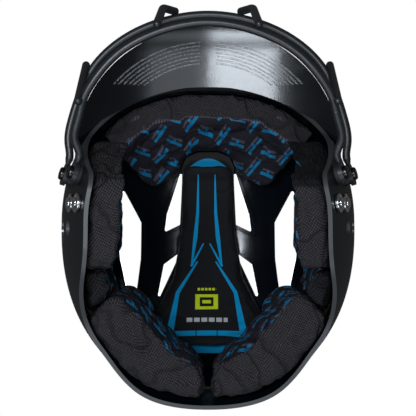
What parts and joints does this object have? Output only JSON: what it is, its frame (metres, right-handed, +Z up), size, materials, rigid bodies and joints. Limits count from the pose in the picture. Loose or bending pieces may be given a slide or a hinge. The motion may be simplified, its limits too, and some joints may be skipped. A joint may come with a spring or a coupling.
{
  "type": "batting helmet",
  "caption": "Hard-shell batting helmet with a brim, two ear flaps, crown vents, inner padding and a bolted wire face guard.",
  "frame": {"origin": "centre of the bounding box in X and Y, at the feet of the ear flaps", "axes": "+Z up through the crown, the brim and face guard towards -Y, +X towards the wearer's left ear"},
  "size_m": [0.232, 0.3008, 0.213],
  "materials": {
    "shell_plastic": "matte black outside, glossy black inside",
    "guard_wire": "vinyl-dipped steel wire, satin black",
    "spacer_rubber": "black",
    "screw_metal": "black oxide, glossy",
    "nut_metal": "zinc plated",
    "snap_metal": "bright nickel",
    "firm_foam": "closed-cell foam, black",
    "blue_foam": "closed-cell foam, bright blue",
    "pad_cloth": "charcoal knit with a printed herringbone of blue dashes",
    "mesh_cloth": "open dark mesh over foam",
    "crown_cloth": "smooth black textile with blue lines and a lime mark",
    "hook_tape": "hook-and-loop tape, black"
  },
  "bodies": {
    "helmet": {"shell": "shell_plastic", "front_liner": "firm_foam", "rear_liners": "firm_foam", "crown_base": "blue_foam", "front_pad": "pad_cloth", "hook_patches": "hook_tape", "side_pad_left": "mesh_cloth", "side_pad_right": "mesh_cloth", "rear_pad_left": "pad_cloth", "rear_pad_right": "pad_cloth", "guard_chin_bar": "guard_wire", "guard_upper_bar": "guard_wire", "guard_center_post_left": "guard_wire", "guard_center_post_right": "guard_wire", "guard_side_post_left": "guard_wire", "guard_side_post_right": "guard_wire", "guard_spacers": "spacer_rubber", "guard_screws": "screw_metal", "guard_nuts": "nut_metal", "snap_studs": "snap_metal", "snap_rivets": "snap_metal"},
    "crown_pad": {"crown_pad": "crown_cloth"},
    "ear_pad_left": {"ear_pad_left": "pad_cloth"},
    "ear_pad_right": {"ear_pad_right": "pad_cloth"}
  },
  "joints": [
    {"name": "crown_pad_lift_off", "type": "slide", "parent": "helmet", "child": "crown_pad", "axis": [0, 0, -1], "range_m": [0, 0.012]},
    {"name": "ear_pad_left_lift_off", "type": "slide", "parent": "helmet", "child": "ear_pad_left", "axis": [-1, 0, 0], "range_m": [0, 0.02]},
    {"name": "ear_pad_right_lift_off", "type": "slide", "parent": "helmet", "child": "ear_pad_right", "axis": [1, 0, 0], "range_m": [0, 0.02]}
  ]
}
